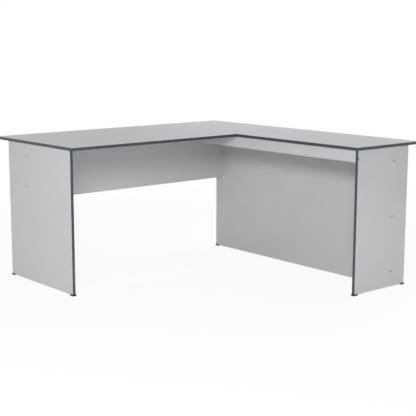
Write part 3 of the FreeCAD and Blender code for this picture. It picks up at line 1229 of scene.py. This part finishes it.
@dataclass(frozen=True)
class Studio:
    """White studio: even light all round, softboxes, and a pale floor that keeps a faint shadow."""

    ambient: float = 0.3
    white: Triple = (1.0, 1.0, 1.0)
    backdrop: float = 1.0
    floor_colour: Triple = (0.93, 0.93, 0.93)
    floor_half: float = 30.0
    floor_level: float = -0.0002
    shadow_share: float = 0.11
    shadow_near: float = 1.7
    shadow_far: float = 3.6
    softboxes: tuple[Softbox, ...] = (
        Softbox("key", bearing=224.0, elevation=22.0, power=95.0, width=1.6, height=0.9),
        Softbox("side_key", bearing=208.0, elevation=26.0, power=28.0, width=1.6, height=0.9),
        Softbox("front_fill", bearing=245.0, elevation=15.0, power=14.0, width=4.6, height=2.2),
        Softbox(
            "left_bounce", bearing=184.0, elevation=2.0, power=6.2,
            distance=1.8, width=1.4, height=0.3, aim=(-0.7, 0.26, 0.12),
        ),
        Softbox(
            "right_bounce", bearing=270.0, elevation=0.0, power=1.15,
            distance=0.8, width=0.6, height=0.3, aim=(0.36, -0.78, 0.24),
        ),
        Softbox(
            "floor_bounce", bearing=270.0, elevation=-45.0, power=1.15,
            distance=0.6, width=0.9, height=0.3, aim=(-0.28, 0.5, 0.45),
        ),
        Softbox("rear_left", bearing=80.0, elevation=20.0, power=20.0),
        Softbox("rear_right", bearing=10.0, elevation=20.0, power=40.0),
        Softbox(
            "top_light", bearing=24.0, elevation=50.0, power=28.5,
            distance=3.6, width=2.2, height=2.2,
        ),
        Softbox(
            "corner_light", bearing=45.0, elevation=30.0, power=3.7,
            distance=2.3, width=1.2, height=1.2,
        ),
    )

    def light_world(self) -> None:
        """Lights the scene evenly from all round and shows white behind it."""
        world = bpy.data.worlds.new("studio")
        world.use_nodes = True
        bpy.context.scene.world = world
        world.node_tree.nodes.clear()
        hand = NodeHand(world.node_tree)
        soft = hand.add("ShaderNodeBackground", {"Color": self.white, "Strength": self.ambient})
        shown = hand.add("ShaderNodeBackground", {"Color": self.white, "Strength": self.backdrop})
        surface = hand.either(hand.seen_directly(), soft.outputs[0], shown.outputs[0])
        hand.add("ShaderNodeOutputWorld", {"Surface": surface})

    def floor_material(self) -> Material:
        """Pale floor that shows white, with the desk's shadow faint on it and gone further out.

        Returns:
            The floor's material.
        """
        material = bpy.data.materials.new("studio_floor")
        material.use_nodes = True
        material.node_tree.nodes.clear()
        hand = NodeHand(material.node_tree)
        place = hand.add("ShaderNodeTexCoord").outputs["Object"]
        away = hand.add("ShaderNodeVectorMath", {0: place}, operation="LENGTH").outputs["Value"]
        fading = {"From Min": self.shadow_near, "From Max": self.shadow_far}
        fading |= {"Value": away, "To Min": self.shadow_share, "To Max": 0.0}
        share = hand.add("ShaderNodeMapRange", fading, interpolation_type="SMOOTHSTEP").outputs[0]
        pale = hand.add("ShaderNodeBsdfDiffuse", {"Color": self.floor_colour}).outputs[0]
        glow = hand.add("ShaderNodeEmission", {"Color": self.white, "Strength": self.backdrop})
        shaded = hand.add("ShaderNodeBsdfDiffuse", {"Color": self.white}).outputs[0]
        shown = hand.either(share, glow.outputs[0], shaded)
        surface = hand.either(hand.seen_directly(), pale, shown)
        hand.add("ShaderNodeOutputMaterial", {"Surface": surface})
        return material

    def lay_floor(self) -> None:
        """Lays the floor under the desk."""
        half = self.floor_half
        mesh = bmesh.new()
        plan = ((-half, -half), (half, -half), (half, half), (-half, half))
        mesh.faces.new([mesh.verts.new((x, y, self.floor_level)) for x, y in plan])
        floor = new_object("studio_floor", mesh, smooth_below=0.0)
        floor.data.materials.append(self.floor_material())

    def build(self) -> None:
        """Sets up the light and the floor."""
        bpy.context.scene.view_settings.view_transform = "Standard"
        self.light_world()
        self.lay_floor()
        for softbox in self.softboxes:
            softbox.build()


@dataclass(frozen=True)
class PhotoCamera:
    """Camera at the photograph's place, fitted to the desk's edges. Angles are in degrees."""

    place: Triple = (-3.3904, -3.9969, 1.3007)
    yaw: float = 50.1268
    pitch: float = -10.0062
    roll: float = 0.0152
    focal_pixels: float = 990.27
    axis_pixel: tuple[float, float] = (196.0, 208.0)
    image_pixels: float = 416.0
    sensor: float = 36.0

    def build(self) -> None:
        """Makes the camera and takes it as the scene's own."""
        data = bpy.data.cameras.new("photo_camera")
        data.sensor_width = self.sensor
        data.lens = self.focal_pixels / self.image_pixels * self.sensor
        data.shift_x = 0.5 - self.axis_pixel[0] / self.image_pixels
        data.shift_y = self.axis_pixel[1] / self.image_pixels - 0.5
        camera = bpy.data.objects.new("photo_camera", data)
        yaw, pitch, roll = (math.radians(angle) for angle in (self.yaw, self.pitch, self.roll))
        turn = Matrix.Rotation(yaw - math.pi / 2, 4, "Z") @ Matrix.Rotation(math.pi / 2 + pitch, 4, "X")
        camera.matrix_world = Matrix.Translation(self.place) @ turn @ Matrix.Rotation(roll, 4, "Z")
        bpy.context.scene.collection.objects.link(camera)
        bpy.context.scene.camera = camera


Assembly = EdgedBoard | Shoes | ScrewedJoint | TopFittings


def desk() -> list[Assembly]:
    """Sub-assemblies of the desk.

    Returns:
        The sub-assemblies in building order.
    """
    return [
        EdgedBoard(
            "worktop_board", thickness=Axis.Z, grain=Axis.X,
            dark_edging=(
                "worktop_inner_edging", "worktop_left_edging", "worktop_back_edging",
                "worktop_right_edging", "worktop_return_end_edging",
            ),
        ),
        EdgedBoard(
            "left_end_panel", thickness=Axis.X, grain=Axis.Z,
            dark_edging=("left_panel_front_edging",), grey_edging=("left_panel_back_edging",),
        ),
        EdgedBoard(
            "right_end_panel", thickness=Axis.Y, grain=Axis.Z,
            dark_edging=("right_panel_front_edging",), grey_edging=("right_panel_back_edging",),
        ),
        EdgedBoard(
            "return_panel", thickness=Axis.X, grain=Axis.Y, grey_edging=("return_panel_end_edging",)
        ),
        EdgedBoard(
            "modesty_panel", thickness=Axis.Y, grain=Axis.X,
            grey_edging=("modesty_panel_bottom_edging",),
        ),
        EdgedBoard(
            "front_rail", thickness=Axis.X, grain=Axis.Y, grey_edging=("front_rail_bottom_edging",)
        ),
        Shoes(),
        ScrewedJoint("left_end", facing=-1),
        ScrewedJoint("right_end", facing=-1),
        ScrewedJoint("corner", facing=1),
        TopFittings("left_end_panel"),
        TopFittings("right_end_panel"),
        TopFittings("return_panel"),
        TopFittings("modesty_panel", has_cams=False),
        TopFittings("front_rail", has_cams=False),
    ]


def main() -> None:
    """Builds the desk's sub-assemblies in order, then the studio and the camera."""
    logging.basicConfig(level=logging.INFO, format="%(name)s: %(message)s")
    for assembly in desk():
        for piece in assembly.build():
            finish = piece.material_slots[0].material.name
            LOG.info("%s: %s in %s", type(assembly).__name__, piece.name, finish)
    Studio().build()
    PhotoCamera().build()


if __name__ == "__main__":
    main()
